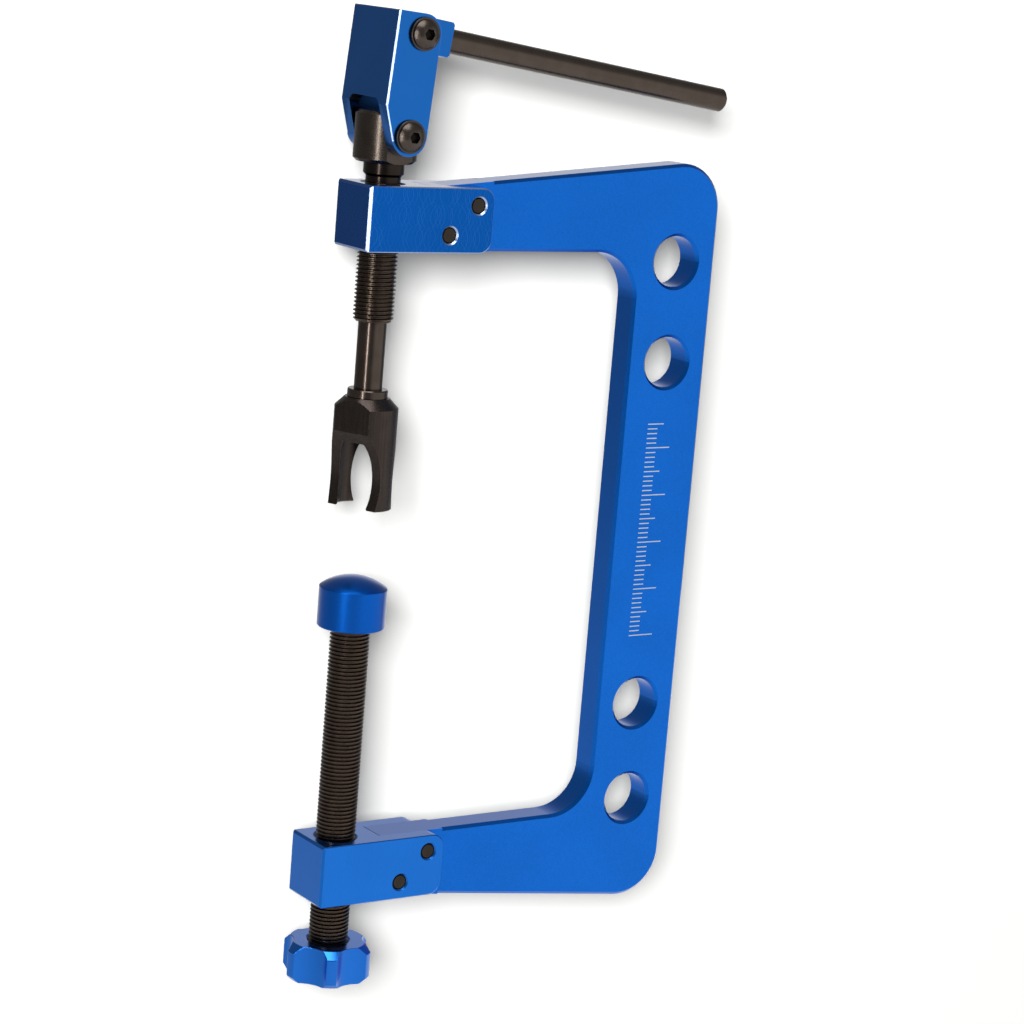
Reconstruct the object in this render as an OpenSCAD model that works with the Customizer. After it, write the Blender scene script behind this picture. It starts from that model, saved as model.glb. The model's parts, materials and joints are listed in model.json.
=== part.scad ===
// Valve spring compressor: a C-frame screw press with a folding crank on top and an adjustable anvil below.
// The origin is the top of the anvil pad's dome, on the screw axis. +Z runs up the screw, and +X from
// the screw to the spine. Everything is in millimetres, in the pose of rest.

/* [C-frame] */
// Opening between the two jaws
throat_h = 236; // [190:1:300]
// Depth of the throat, from the screw axis to the spine
throat_d = 119.5; // [90:0.5:160]
// Width of the spine
spine_w = 39.5; // [34:0.5:60]
// Thickness of the plate
plate_t = 12.7; // [10:0.1:16]
// How far the upper arm has widened where it meets the frame's outer edge
upper_rise = 13; // [6:0.5:24]
// How far the lower arm has widened where it meets the frame's outer edge
lower_rise = 16.8; // [6:0.1:24]
// Distance from the jaw's inner end back to where its arm starts to widen
taper_back = 18.8; // [8:0.1:24]
// Radius of the frame's outer corners
outer_r = 19; // [8:0.5:26]
// Radius of the throat's corners
inner_r = 19; // [8:0.5:30]
// Bevel on the plate's edges and on the rims of its holes
plate_bevel = 1.25; // [0.5:0.05:2]
// Distance from the jaws to where the bevel of the plate's edges starts
bevel_start = 3; // [1:0.5:10]
// Diameter of the holes in the spine
hole_d = 21; // [12:0.5:25]
// Distance between the two holes of a pair
hole_pitch = 41.7; // [32:0.1:50]
// How far inside the throat's edges the end holes lie
hole_inset = 3.6; // [0:0.1:12]

/* [Jaws] */
// Thickness of a jaw, across the plate
jaw_t = 25.4; // [22:0.1:32]
// Height of a jaw
jaw_h = 25.4; // [22:0.1:34]
// Length of a jaw
jaw_l = 56.5; // [52:0.5:70]
// Distance from the screw axis to the jaw's outer end
jaw_end = 12.7; // [11:0.1:16]
// Depth of the slot that takes the arm
slot_l = 26.8; // [24:0.1:30]
// Corner radius of the slotted end
jaw_r = 5.5; // [2:0.1:9]
// Bevel on the outer end of a jaw
jaw_bevel = 1; // [0.3:0.1:2]
// Fine edge break along the jaw's long edges
jaw_break = 0.4; // [0.2:0.05:0.8]
// Countersink of the threaded hole
bore_bevel = 1; // [0.3:0.1:1.8]
// Clearance between the arm and the slot, on each face
slot_clear = 0.05; // [0.02:0.01:0.2]
// Gap at the end of the slot
slot_gap = 0.35; // [0.05:0.05:1]

/* [Dowels] */
// Diameter of the dowel pins
dowel_d = 6.35; // [4:0.05:8]
// Distance of the upper dowel from the jaw's slotted end
dowel_in = 7.1; // [6:0.1:9]
// Distance of the upper dowel below the jaw's top
dowel_down = 6.9; // [6:0.1:8]
// Distance between the dowels along the jaw
dowel_dx = 12.4; // [8:0.1:14]
// Distance between the dowels down the jaw
dowel_dz = 11.6; // [8:0.1:12]
// How far the dowels lie below the jaw's faces
dowel_recess = 0.5; // [0.2:0.1:1.5]
// Bevel on the rims of the dowel holes
dowel_bevel = 0.6; // [0.2:0.1:1]

/* [Screws] */
// Outside diameter of both screws
thread_d = 15.875; // [14:0.005:18]
// Height of the head above the upper jaw
head_gap = 8; // [7:0.1:30]
// Length of the plain shank under the head
shank_l = 5.4; // [3:0.1:6]
// Length of the forcing screw's thread, with the neck above it
thread_l = 56.1; // [45:0.1:80]
// Width of the neck between shank and thread
neck_w = 2.6; // [0.5:0.1:4]
// Depth of the neck and of the bevels at the ends of the threads
neck_depth = 1.1; // [0.5:0.05:1.5]
// Diameter of the spindle
spindle_d = 11.1; // [8:0.1:13]
// Length of the spindle
spindle_l = 26.4; // [15:0.1:50]
// Height of the collar
collar_h = 3.2; // [2:0.1:6]
// Diameter of the spigots that carry the fork tip and the pad
nose_d = 10; // [8:0.1:11]
// Length of those spigots
nose_l = 12; // [11:0.1:13.5]
// Radial clearance of the screws in the jaws, and of the spigots in their bores
run_clear = 0.05; // [0.02:0.01:0.1]
// Radial clearance of pieces that are pressed or bonded together
press_clear = 0.01; // [0.005:0.005:0.02]

/* [Screw head] */
// Diameter of the head
head_d = 24.6; // [22:0.1:28]
// Height of the head
head_h = 19.5; // [19:0.1:24]
// Height of the lower pivot above the underside of the head
pivot_up = 11.2; // [10:0.1:12]
// Bevel on the head's edges
head_bevel = 1.2; // [0.3:0.1:1.5]
// Diameter of the screw's spigot inside the head
spigot_d = 14; // [12:0.1:15]
// Thickness of the head above that spigot
head_top = 2.4; // [1.5:0.1:2.8]

/* [Yoke] */
// Width of the yoke over its ears
yoke_w = 33.8; // [31:0.1:40]
// Thickness of an ear
ear_t = 5.8; // [4:0.1:6.4]
// Thickness of the web that joins the ears
web_t = 4.8; // [3:0.1:7]
// Distance between the two pivots
pivot_span = 38.7; // [34:0.1:60]
// Radius of the ears round the pivots
ear_r = 7.6; // [6.5:0.1:9]
// Height above the lower pivot at which the ears start to narrow
taper_up = 10.6; // [8:0.1:13]
// Corner radius of the arch between the ears
arch_r = 3.5; // [1:0.1:6]
// Bevel on the edges of the web
yoke_bevel = 0.6; // [0.3:0.1:1.5]
// Fine break along the web's top edge and down the tapers
yoke_break = 0.4; // [0.2:0.1:1]
// Clearance of the head and the handle block between the ears, on each side
ear_clear = 0.2; // [0.1:0.05:0.4]
// Clearance of the arch over the head, and of the web behind the handle block
swing_clear = 0.4; // [0.3:0.05:0.8]
// Lean of the yoke towards the spine, in degrees
lean = 4.7; // [-10:0.1:8]

/* [Handle] */
// Distance from the upper pivot to the end of the handle block
block_l = 16.6; // [14:0.1:24]
// Height of the handle block
block_h = 13.6; // [12:0.1:15]
// Bevel on the corners of the block's end
block_bevel = 0.9; // [0.3:0.1:2]
// Diameter of the handle rod
rod_d = 9.525; // [8:0.005:11]
// Distance from the upper pivot to the end of the rod
rod_reach = 157.5; // [100:0.5:200]
// Depth of the rod in the block
rod_in = 9.8; // [7:0.1:10.2]
// Bevel on the end of the rod
rod_bevel = 0.8; // [0.3:0.1:1.5]
// Droop of the handle below a right angle to the yoke, in degrees
droop = 2.9; // [-20:0.1:6]

/* [Pivots] */
// Diameter of the pivot pins
pin_d = 9.5; // [8:0.1:10.5]
// How far the pivot pins stand out of the ears, for side play
pin_proud = 0.1; // [0.05:0.05:0.3]
// Diameter of the pivot screws
pivot_screw_d = 6; // [4:0.1:6.5]
// Length of the pivot screws under their washers
pivot_screw_l = 10; // [6:0.5:14]
// Diameter of the button heads
button_d = 11.1; // [9:0.1:12.5]
// Height of the button heads
button_h = 3.3; // [2.6:0.1:4]
// Height of the straight rim under the dome of a button head
button_rim = 0.6; // [0.3:0.1:1]
// Size of the hexagon socket, across flats
socket_af = 4; // [3:0.1:4.5]
// Depth of the hexagon socket
socket_depth = 2; // [1:0.1:2.2]
// Diameter of the washers under the button heads
washer_d = 12.7; // [11.5:0.1:15]
// Thickness of those washers
washer_t = 1.2; // [0.8:0.1:2]

/* [Fork tip] */
// Diameter of the tip
tip_d = 25; // [22:0.1:30]
// Height of the tip
tip_h = 43.4; // [41.5:0.1:60]
// Bevel round the top of the tip
tip_bevel = 3.7; // [1:0.1:4.5]
// Size across the two flats
tip_flats = 19; // [16.5:0.1:22]
// Diameter of the cup inside the tip
cup_d = 17.5; // [14:0.1:19]
// Depth of the cup
cup_depth = 25.9; // [18:0.1:27]
// Radius of the curved cut that forms each window
window_r = 36; // [28:0.5:50]
// Thickness left between the two windows at their waist
waist = 8.1; // [4:0.1:9]
// Height of the waist above the rim
waist_up = 10.9; // [8:0.1:18]
// Bevel inside the rim
rim_bevel = 0.5; // [0.2:0.1:1]
// Turn of the windows away from the frame's own plane, in degrees
tip_turn = 24.4; // [-90:0.1:90]
// Outside diameter of the thrust washer on top of the tip
thrust_d = 14; // [13:0.1:15]
// Thickness of the thrust washer
thrust_t = 0.9; // [0.6:0.1:1.5]
// Clearance over and under the thrust washer
face_gap = 0.05; // [0.02:0.01:0.1]
// Thickness of the wire rings that hold the tip and the pad
ring_t = 1.2; // [0.8:0.1:1.6]
// How far those rings reach into each groove
ring_bite = 0.7; // [0.4:0.05:0.9]
// Room round a ring in its grooves
ring_clear = 0.1; // [0.05:0.05:0.2]

/* [Anvil] */
// Height of the dome's top above the lower jaw
anvil_rise = 107; // [80:0.5:120]
// Diameter of the pad
pad_d = 27; // [22:0.1:32]
// Height of the pad
pad_h = 20.6; // [19:0.1:30]
// Height of the pad's dome
dome_h = 4.6; // [2:0.1:6]
// Bevel under the pad
pad_bevel = 0.4; // [0.2:0.1:1]
// Length of bare thread between the pad and the knob
anvil_l = 129.8; // [125:0.1:160]
// Diameter of the knob
knob_d = 36.4; // [30:0.1:44]
// Height of the knob
knob_h = 15.3; // [13:0.1:22]
// Number of lobes on the knob
lobes = 6; // [4:1:7]
// Radius of the hollows between the lobes
hollow_r = 10.75; // [8:0.05:12]
// Depth of those hollows
hollow_depth = 4.25; // [2:0.05:5]
// Bevel round the top of the knob
knob_bevel = 2.9; // [1:0.1:4]
// Bevel round the bottom of the knob
knob_break = 2.2; // [0.5:0.1:4]
// Depth of the screw in the knob
knob_in = 11; // [8:0.1:12]
// Turn of the lobes, in degrees
knob_turn = 6.4; // [0:0.1:60]

/* [Hidden] */
$fn = 96;
anodised_blue = [0.05, 0.27, 0.74];
black_oxide = [0.13, 0.11, 0.1];
turned_steel = [0.42, 0.4, 0.37];
past = 1;
hair = 0.005;

z_lower = -anvil_rise;
z_upper = z_lower + throat_h + jaw_h;
z_head = z_upper + head_gap;
z_pivot = z_head + pivot_up;
z_shank = z_head - shank_l;
z_thread = z_shank - thread_l;
z_collar = z_thread - spindle_l;
z_seat = z_collar - collar_h;
z_tip = z_seat - face_gap;
z_rim = z_tip - tip_h;
z_pad = -pad_h;
z_knob = z_pad - anvil_l;

jaw_x = jaw_l - jaw_end;
arm_x = jaw_x - slot_l;
taper_x = jaw_x - taper_back;
outer_x = throat_d + spine_w;
hole_x = throat_d + spine_w / 2;
dowel_x = jaw_x - dowel_in;
thread_r = thread_d / 2;
nose_r = nose_d / 2;
spigot_top = z_head + head_h - head_top;
ring_drop = nose_l / 2;

ear_gap = yoke_w - 2 * ear_t;
fitted_w = ear_gap - 2 * ear_clear;
web_in = block_h / 2 + swing_clear;
web_face = web_in + web_t;
head_over = head_h - pivot_up;
head_swing = max(norm([head_d / 2, head_over - head_bevel]), norm([head_d / 2 - head_bevel, head_over]));
arch_up = max(head_d / 2 + swing_clear, sqrt(pow(head_swing + swing_clear, 2) - pow(web_in, 2)));
pin_l = yoke_w + 2 * pin_proud;
handle_x = pivot_span * sin(lean);
handle_z = z_pivot + pivot_span * cos(lean);
dome_r = (pow(pad_d / 2, 2) + pow(dome_h, 2)) / (2 * dome_h);

function unit(v) = v / norm(v);
// Half of the angle at corner p, between its edges towards a and b
function half_angle(p, a, b) = acos(unit(a - p) * unit(b - p)) / 2;
// Centre of the arc that rounds corner p
function arc_centre(p, a, b, r) = p + unit(unit(a - p) + unit(b - p)) * r / sin(half_angle(p, a, b));
// Where that arc meets the edge towards a
function arc_touch(p, a, b, r) = p + unit(a - p) * r / tan(half_angle(p, a, b));
// Direction from the arc's centre to where it meets the edge towards a, in degrees
function arc_from(p, a, b, r) =
    let(d = arc_touch(p, a, b, r) - arc_centre(p, a, b, r)) atan2(d.y, d.x);

// The sharp bit of corner p that lies outside its arc, reaching a little past the edges.
// With some ease the arc stands a hair proud, and so crosses its edges
module corner_bit(p, a, b, r, ease = 0) {
    c = arc_centre(p, a, b, r);
    ta = arc_touch(p, a, b, r);
    tb = arc_touch(p, b, a, r);
    difference() {
        polygon([c, ta + unit(ta - c) * past, p + unit(p - c) * 2 * past, tb + unit(tb - c) * past]);
        translate(c) circle(r + ease);
    }
}

// Stands a flat outline up in the XZ plane, with its thickness across Y
module upright(t) {
    rotate([90, 0, 0]) linear_extrude(t, center = true) children();
}

// Section of the cutter that bevels an edge by size
module bevel_section(size) {
    polygon([[size, 0], [0, size], [-size, 0], [0, -size]]);
}

// Bevel along the straight edge from a to b, on both faces of a plate
module edge_bevel(a, b, t, size) {
    run = b - a;
    for (face = [-1, 1])
        translate([a.x, face * t / 2, a.y])
            rotate([0, -atan2(run.y, run.x), 0])
                rotate([90, 0, 90]) linear_extrude(norm(run)) bevel_section(size);
}

// Bevel along an arc about c, from angle from_a over the angle turn, on both faces of a plate
module arc_bevel(c, r, from_a, turn, t, size) {
    for (face = [-1, 1])
        translate([c.x, face * t / 2, c.y])
            rotate([90, 0, 0])
                rotate(from_a)
                    rotate_extrude(angle = turn) translate([r, 0]) bevel_section(size);
}

// Bevel round the corner p of a plate's outline, from its edge towards a to its edge towards b
module corner_bevel(p, a, b, r, t, size, ease = 0) {
    start = arc_from(p, a, b, r);
    end = arc_from(p, b, a, r);
    turn = (end - start + 540) % 360 - 180;
    arc_bevel(arc_centre(p, a, b, r), r + ease, turn < 0 ? end : start, abs(turn), t, size);
}

// A hole across the plate with bevelled rims
module rimmed_hole(d, t, size) {
    rotate([90, 0, 0]) cylinder(d = d, h = t + 2 * past, center = true);
    for (face = [-1, 1])
        translate([0, face * t / 2, 0]) rotate([face * 90, 0, 0])
            translate([0, 0, -past])
                cylinder(d1 = d + 2 * size + 2 * past, d2 = d - 2 * past, h = size + 2 * past);
}

// Corners of the C-frame's outline
top_end = [taper_x, z_upper];
top_corner = [outer_x, z_upper + upper_rise];
low_corner = [outer_x, z_lower - jaw_h - lower_rise];
low_end = [taper_x, z_lower - jaw_h];
throat_top = [throat_d, z_upper - jaw_h];
throat_low = [throat_d, z_lower];
throat_top_end = [arm_x - past, z_upper - jaw_h];
throat_low_end = [arm_x - past, z_lower];
bevel_x = jaw_x + bevel_start;
// Point on the outer edge of an arm, at the distance x from the screw axis
function on_edge(a, b, x) = a + (b - a) * (x - a.x) / (b.x - a.x);

module frame_outline() {
    difference() {
        polygon([[arm_x, z_upper], top_end, top_corner, low_corner, low_end, [arm_x, z_lower - jaw_h]]);
        corner_bit(top_corner, top_end, low_corner, outer_r, hair);
        corner_bit(low_corner, low_end, top_corner, outer_r, hair);
        difference() {
            polygon([throat_top_end, throat_top, throat_low, throat_low_end]);
            corner_bit(throat_top, throat_top_end, throat_low, inner_r);
            corner_bit(throat_low, throat_low_end, throat_top, inner_r);
        }
    }
}

// The outer edges' bevels run on past the round corners
module frame_bevels() {
    edge_bevel(on_edge(top_end, top_corner, bevel_x), top_corner, plate_t, plate_bevel);
    corner_bevel(top_corner, top_end, low_corner, outer_r, plate_t, plate_bevel, hair);
    edge_bevel(top_corner, low_corner, plate_t, plate_bevel);
    corner_bevel(low_corner, low_end, top_corner, outer_r, plate_t, plate_bevel, hair);
    edge_bevel(on_edge(low_end, low_corner, bevel_x), low_corner, plate_t, plate_bevel);
    edge_bevel([bevel_x, throat_top.y], arc_touch(throat_top, throat_top_end, throat_low, inner_r),
        plate_t, plate_bevel);
    corner_bevel(throat_top, throat_top_end, throat_low, inner_r, plate_t, plate_bevel);
    edge_bevel(arc_touch(throat_top, throat_low, throat_top_end, inner_r),
        arc_touch(throat_low, throat_top, throat_low_end, inner_r), plate_t, plate_bevel);
    corner_bevel(throat_low, throat_low_end, throat_top, inner_r, plate_t, plate_bevel);
    edge_bevel([bevel_x, throat_low.y], arc_touch(throat_low, throat_low_end, throat_top, inner_r),
        plate_t, plate_bevel);
}

// Centres of the spine's holes, from the top down
hole_zs = [throat_top.y - hole_inset, throat_top.y - hole_inset - hole_pitch,
    throat_low.y + hole_inset + hole_pitch, throat_low.y + hole_inset];

module c_frame() {
    color(anodised_blue)
        difference() {
            upright(plate_t) frame_outline();
            frame_bevels();
            for (z = hole_zs)
                translate([hole_x, 0, z]) rimmed_hole(hole_d, plate_t, plate_bevel);
            for (z = [z_upper, z_lower])
                translate([0, 0, z]) dowel_holes();
        }
}

// Places what is drawn at the two dowels of a jaw, measured from the jaw's top
module at_dowel(rear) {
    translate([dowel_x - rear * dowel_dx, 0, -dowel_down - rear * dowel_dz]) children();
}

module dowel_holes() {
    for (rear = [0, 1])
        at_dowel(rear) rimmed_hole(dowel_d + 2 * press_clear, jaw_t, dowel_bevel);
}

// Side of a jaw, with its top at 0: bevelled outer end, round slotted end
module jaw_side() {
    top = [jaw_x, 0];
    low = [jaw_x, -jaw_h];
    top_out = [-jaw_end + jaw_bevel, 0];
    low_out = [-jaw_end + jaw_bevel, -jaw_h];
    difference() {
        polygon([top_out, top, low, low_out, [-jaw_end, -jaw_h + jaw_bevel], [-jaw_end, -jaw_bevel]]);
        corner_bit(top, top_out, low, jaw_r);
        corner_bit(low, low_out, top, jaw_r);
    }
}

// Fine breaks round the jaw's side faces, and bevels down its outer end
module jaw_breaks() {
    top = [jaw_x, 0];
    low = [jaw_x, -jaw_h];
    top_out = [-jaw_end, 0];
    low_out = [-jaw_end, -jaw_h];
    edge_bevel(top_out, arc_touch(top, top_out, low, jaw_r), jaw_t, jaw_break);
    corner_bevel(top, top_out, low, jaw_r, jaw_t, jaw_break);
    edge_bevel(arc_touch(top, low, top_out, jaw_r), arc_touch(low, top, low_out, jaw_r), jaw_t, jaw_break);
    corner_bevel(low, low_out, top, jaw_r, jaw_t, jaw_break);
    edge_bevel(low_out, arc_touch(low, low_out, top, jaw_r), jaw_t, jaw_break);
    edge_bevel([-jaw_end, past], [-jaw_end, -jaw_h - past], jaw_t, jaw_bevel);
}

module jaw(z) {
    bore_r = thread_r + run_clear;
    slot_w = plate_t + 2 * slot_clear;
    translate([0, 0, z])
        difference() {
            upright(jaw_t) jaw_side();
            jaw_breaks();
            translate([arm_x - slot_gap, -slot_w / 2, -jaw_h - past])
                cube([slot_l + slot_gap + past, slot_w, jaw_h + 2 * past]);
            translate([0, 0, -jaw_h - past]) cylinder(r = bore_r, h = jaw_h + 2 * past);
            translate([0, 0, -bore_bevel])
                cylinder(r1 = bore_r, r2 = bore_r + bore_bevel + past, h = bore_bevel + past);
            translate([0, 0, -jaw_h - past])
                cylinder(r1 = bore_r + bore_bevel + past, r2 = bore_r, h = bore_bevel + past);
            dowel_holes();
        }
}

module upper_jaw() {
    color(anodised_blue) jaw(z_upper);
}

module lower_jaw() {
    color(anodised_blue) jaw(z_lower);
}

// A dowel pin with bevelled ends
module dowel(z, rear) {
    half = jaw_t / 2 - dowel_recess;
    r = dowel_d / 2;
    color(black_oxide)
        translate([0, 0, z]) at_dowel(rear) rotate([90, 0, 0])
            rotate_extrude()
                polygon([[0, -half], [r - dowel_recess, -half], [r, dowel_recess - half],
                    [r, half - dowel_recess], [r - dowel_recess, half], [0, half]]);
}

// Groove for a wire ring, on the outside of a spigot
module spigot_groove(z) {
    h = ring_t + 2 * ring_clear;
    translate([0, 0, z - h / 2])
        difference() {
            cylinder(r = nose_r + past, h = h);
            translate([0, 0, -past]) cylinder(r = nose_r - ring_bite - ring_clear, h = h + 2 * past);
        }
}

// Bore for a spigot, open at z and running in the direction way, with its ring groove
module spigot_bore(z, way) {
    r = nose_r + run_clear;
    h = ring_t + 2 * ring_clear;
    depth = nose_l + 2 * press_clear + ring_clear;
    translate([0, 0, way > 0 ? z - past : z - depth]) cylinder(r = r, h = depth + past);
    translate([0, 0, z + way * ring_drop - h / 2]) cylinder(r = nose_r + ring_bite + ring_clear, h = h);
}

// Open wire ring, half in each of its grooves
module wire_ring(z) {
    color(black_oxide)
        translate([0, 0, z - ring_t / 2])
            difference() {
                cylinder(r = nose_r + ring_bite, h = ring_t);
                translate([0, 0, -past]) cylinder(r = nose_r - ring_bite, h = ring_t + 2 * past);
                translate([0, -ring_t / 2, -past]) cube([nose_d, ring_t, ring_t + 2 * past]);
            }
}

module forcing_screw() {
    neck_r = thread_r - neck_depth;
    nose_end = z_seat - nose_l;
    color(black_oxide)
        difference() {
            rotate_extrude()
                polygon([[0, spigot_top], [spigot_d / 2, spigot_top], [spigot_d / 2, z_head],
                    [thread_r, z_head], [thread_r, z_shank + neck_depth], [neck_r, z_shank],
                    [neck_r, z_shank - neck_w],
                    [thread_r, z_shank - neck_w - neck_depth], [thread_r, z_thread + neck_depth],
                    [thread_r - neck_depth, z_thread], [spindle_d / 2, z_thread], [spindle_d / 2, z_collar],
                    [thread_r, z_collar], [thread_r, z_seat], [nose_r, z_seat],
                    [nose_r, nose_end + ring_bite], [nose_r - ring_bite, nose_end], [0, nose_end]]);
            translate([0, 0, z_pivot]) rotate([90, 0, 0])
                cylinder(d = pin_d + 2 * press_clear, h = head_d, center = true);
            spigot_groove(z_tip - ring_drop);
        }
}

module screw_head() {
    r = head_d / 2;
    top = z_head + head_h;
    color(turned_steel)
        difference() {
            intersection() {
                rotate_extrude()
                    polygon([[0, z_head], [r - head_bevel, z_head], [r, z_head + head_bevel],
                        [r, top - head_bevel], [r - head_bevel, top], [0, top]]);
                translate([-head_d, -fitted_w / 2, z_head - past])
                    cube([2 * head_d, fitted_w, head_h + 2 * past]);
            }
            translate([0, 0, z_head - past])
                cylinder(d = spigot_d + 2 * press_clear, h = past + spigot_top - z_head + press_clear);
            translate([0, 0, z_pivot]) rotate([90, 0, 0])
                cylinder(d = pin_d + 2 * press_clear, h = 2 * head_d, center = true);
        }
}

module tip_ring() {
    wire_ring(z_tip - ring_drop);
}

module thrust_washer() {
    color(turned_steel)
        translate([0, 0, z_seat - face_gap - thrust_t])
            difference() {
                cylinder(d = thrust_d, h = thrust_t);
                translate([0, 0, -past]) cylinder(r = nose_r + run_clear, h = thrust_t + 2 * past);
            }
}

// Forked cup: a bored cup with two flats, cut through by two curved windows that leave a pair of prongs
module fork_tip() {
    r = tip_d / 2;
    cup_r = cup_d / 2;
    window_x = waist / 2 + window_r;
    color(black_oxide)
        rotate(tip_turn)
            difference() {
                intersection() {
                    rotate_extrude()
                        polygon([[0, z_rim], [r, z_rim], [r, z_tip - tip_bevel], [r - tip_bevel, z_tip],
                            [0, z_tip]]);
                    translate([-tip_flats / 2, -tip_d, z_rim - past])
                        cube([tip_flats, 2 * tip_d, tip_h + 2 * past]);
                }
                for (way = [-1, 1])
                    translate([way * window_x, 0, z_rim + waist_up]) rotate([90, 0, 0])
                        cylinder(r = window_r, h = 2 * tip_d, center = true, $fn = 180);
                translate([0, 0, z_rim - past]) cylinder(r = cup_r, h = cup_depth + past);
                translate([0, 0, z_rim - past])
                    cylinder(r1 = cup_r + rim_bevel + past, r2 = cup_r, h = rim_bevel + past);
                spigot_bore(z_tip, -1);
                translate([0, 0, z_tip - thrust_t - face_gap])
                    cylinder(d = thrust_d + 2 * ring_clear, h = thrust_t + face_gap + past);
            }
}

// Side of the yoke about its lower pivot: round at both pivots, square at the web's upper corner
module ear_outline() {
    back = [-web_face, taper_up];
    toward = atan2(back.y, back.x) + acos(ear_r / norm(back));
    top = pivot_span + ear_r;
    circle(ear_r);
    translate([0, pivot_span]) circle(ear_r);
    polygon([back, ear_r * [cos(toward), sin(toward)], [ear_r, 0], [ear_r, pivot_span],
        [0, top], [yoke_break - web_face, top], [-web_face, top - yoke_break]]);
}

module yoke_bevels() {
    back = [-web_face, taper_up];
    toward = atan2(back.y, back.x) + acos(ear_r / norm(back));
    edge_bevel(back, [-web_face, pivot_span + ear_r + past], yoke_w, yoke_bevel);
    edge_bevel(ear_r * [cos(toward), sin(toward)], back, yoke_w, yoke_break);
}

// Arch under the web, where the head swings through
module arch_outline() {
    left = [-ear_gap / 2, arch_up];
    right = [ear_gap / 2, arch_up];
    foot = -2 * ear_r;
    difference() {
        polygon([[left.x, foot], left, right, [right.x, foot]]);
        corner_bit(left, right, [left.x, foot], arch_r);
        corner_bit(right, left, [right.x, foot], arch_r);
    }
}

// Places what is drawn about the lower pivot in the leaning yoke
module in_yoke() {
    translate([0, 0, z_pivot]) rotate([0, lean, 0]) children();
}

module yoke() {
    tall = pivot_span + 4 * ear_r;
    color(anodised_blue)
        in_yoke()
            difference() {
                upright(yoke_w) ear_outline();
                yoke_bevels();
                translate([-web_in, -ear_gap / 2, -2 * ear_r]) cube([web_in + 2 * ear_r, ear_gap, tall]);
                translate([-web_face - past, 0, 0]) rotate([90, 0, 90])
                    linear_extrude(web_t + 2 * past) arch_outline();
                for (z = [0, pivot_span])
                    translate([0, 0, z]) rotate([90, 0, 0])
                        cylinder(d = pin_d + 2 * run_clear, h = 2 * yoke_w, center = true);
            }
}

// Pivot pin with a tapped hole in each end
module pivot_pin() {
    hole_l = pivot_screw_l + past;
    color(black_oxide)
        rotate([90, 0, 0])
            difference() {
                cylinder(d = pin_d, h = pin_l, center = true);
                for (way = [-1, 1])
                    translate([0, 0, way * (pin_l / 2 - hole_l / 2 + past / 2)])
                        cylinder(d = pivot_screw_d + 2 * press_clear, h = hole_l + past, center = true);
            }
}

// Turns what is drawn along +Z to point out of one end of a pivot pin; side is -1 in front and 1 at the rear
module at_pin_end(side) {
    translate([0, side * pin_l / 2, 0]) rotate([-side * 90, 0, 0]) children();
}

module pivot_washer(side) {
    color(black_oxide)
        at_pin_end(side)
            difference() {
                cylinder(d = washer_d, h = washer_t);
                translate([0, 0, -past])
                    cylinder(d = pivot_screw_d + 2 * ring_clear, h = washer_t + 2 * past);
            }
}

// Button-head screw: a domed head with a hexagon socket
module pivot_screw(side) {
    r = button_d / 2;
    cap = button_h - button_rim;
    cap_r = (pow(r, 2) + pow(cap, 2)) / (2 * cap);
    color(black_oxide)
        at_pin_end(side)
            translate([0, 0, washer_t])
                difference() {
                    union() {
                        cylinder(d = button_d, h = button_rim);
                        translate([0, 0, button_rim])
                            intersection() {
                                translate([0, 0, cap - cap_r]) sphere(cap_r);
                                cylinder(d = button_d + past, h = cap + past);
                            }
                        translate([0, 0, -washer_t - pivot_screw_l])
                            cylinder(d = pivot_screw_d, h = washer_t + pivot_screw_l + button_rim / 2);
                    }
                    translate([0, 0, button_h - socket_depth])
                        cylinder(d = socket_af / cos(30), h = socket_depth + past, $fn = 6);
                }
}

// Places what is drawn about the upper pivot in the drooping handle
module in_handle() {
    translate([handle_x, 0, handle_z]) rotate([0, lean + droop, 0]) children();
}

module handle_block() {
    half = block_h / 2;
    color(anodised_blue)
        in_handle()
            difference() {
                upright(fitted_w) {
                    circle(half);
                    polygon([[0, -half], [block_l - block_bevel, -half], [block_l, block_bevel - half],
                        [block_l, half - block_bevel], [block_l - block_bevel, half], [0, half]]);
                }
                translate([block_l - rod_in, 0, 0]) rotate([0, 90, 0])
                    cylinder(d = rod_d + 2 * press_clear, h = rod_in + past);
                rotate([90, 0, 0]) cylinder(d = pin_d + 2 * press_clear, h = 2 * yoke_w, center = true);
            }
}

module handle_rod() {
    r = rod_d / 2;
    start = block_l - rod_in + press_clear;
    color(black_oxide)
        in_handle() rotate([0, 90, 0])
            rotate_extrude()
                polygon([[0, start], [r, start], [r, rod_reach - rod_bevel], [r - rod_bevel, rod_reach],
                    [0, rod_reach]]);
}

module anvil_screw() {
    root_r = thread_r - neck_depth;
    end = z_knob - knob_in + press_clear;
    nose_end = z_pad + nose_l;
    color(black_oxide)
        difference() {
            rotate_extrude()
                polygon([[0, nose_end], [nose_r - ring_bite, nose_end], [nose_r, nose_end - ring_bite],
                    [nose_r, z_pad - face_gap], [root_r, z_pad - face_gap],
                    [thread_r, z_pad - neck_depth - face_gap], [thread_r, end], [0, end]]);
            spigot_groove(z_pad + ring_drop);
        }
}

module anvil_pad() {
    r = pad_d / 2;
    color(anodised_blue)
        difference() {
            rotate_extrude() {
                polygon([[0, z_pad], [r - pad_bevel, z_pad], [r, z_pad + pad_bevel], [r, -dome_h],
                    [0, -dome_h]]);
                intersection() {
                    translate([0, -dome_r]) circle(dome_r, $fn = 180);
                    translate([0, -dome_h]) square([r + past, dome_h + past]);
                }
            }
            spigot_bore(z_pad, 1);
        }
}

module pad_ring() {
    wire_ring(z_pad + ring_drop);
}

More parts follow.
